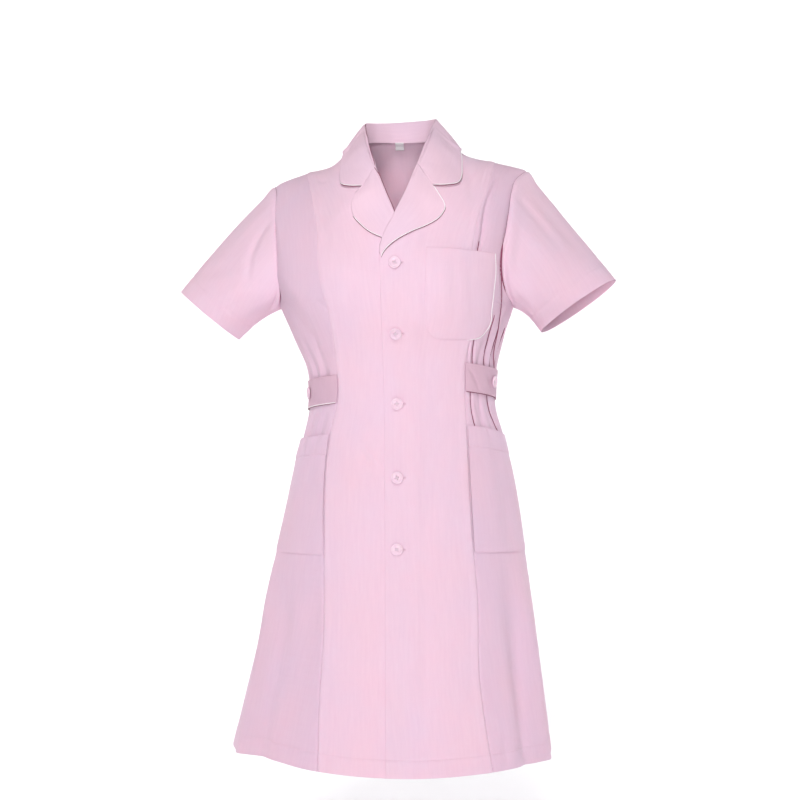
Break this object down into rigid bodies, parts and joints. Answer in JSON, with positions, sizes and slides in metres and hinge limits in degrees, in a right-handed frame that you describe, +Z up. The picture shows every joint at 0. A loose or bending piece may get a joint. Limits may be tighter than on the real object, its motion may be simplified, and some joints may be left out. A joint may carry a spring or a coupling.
{
  "type": "nurse uniform dress",
  "caption": "Short-sleeved, knee-length nurse uniform dress in worn shape with no wearer: notched collar, buttoned front, patch pockets and waist tabs.",
  "frame": {"origin": "middle of the neck, level with the top of the shoulders, where the wearer holds the dress up", "axes": "+X towards the wearer's left, -Y towards the front, +Z up, along the dress"},
  "size_m": [0.6999, 0.3515, 1.017],
  "materials": {
    "cloth": "matt pale pink poly-cotton twill",
    "button": "pearly, pinkish white",
    "label": "white woven, bare"
  },
  "bodies": {
    "root": {"front_left": "cloth", "front_right": "cloth", "side_front_left": "cloth", "side_front_right": "cloth", "back": "cloth", "sleeve_left": "cloth", "sleeve_right": "cloth", "collar": "cloth", "lapel_left": "cloth", "lapel_right": "cloth", "chest_pocket": "cloth", "pocket_left": "cloth", "pocket_right": "cloth", "waist_tab_left": "cloth", "waist_tab_right": "cloth", "button_front_1": "button", "button_front_2": "button", "button_front_3": "button", "button_front_4": "button", "button_front_5": "button", "button_tab_left": "button", "button_tab_right": "button", "neck_label": "label"}
  },
  "joints": []
}
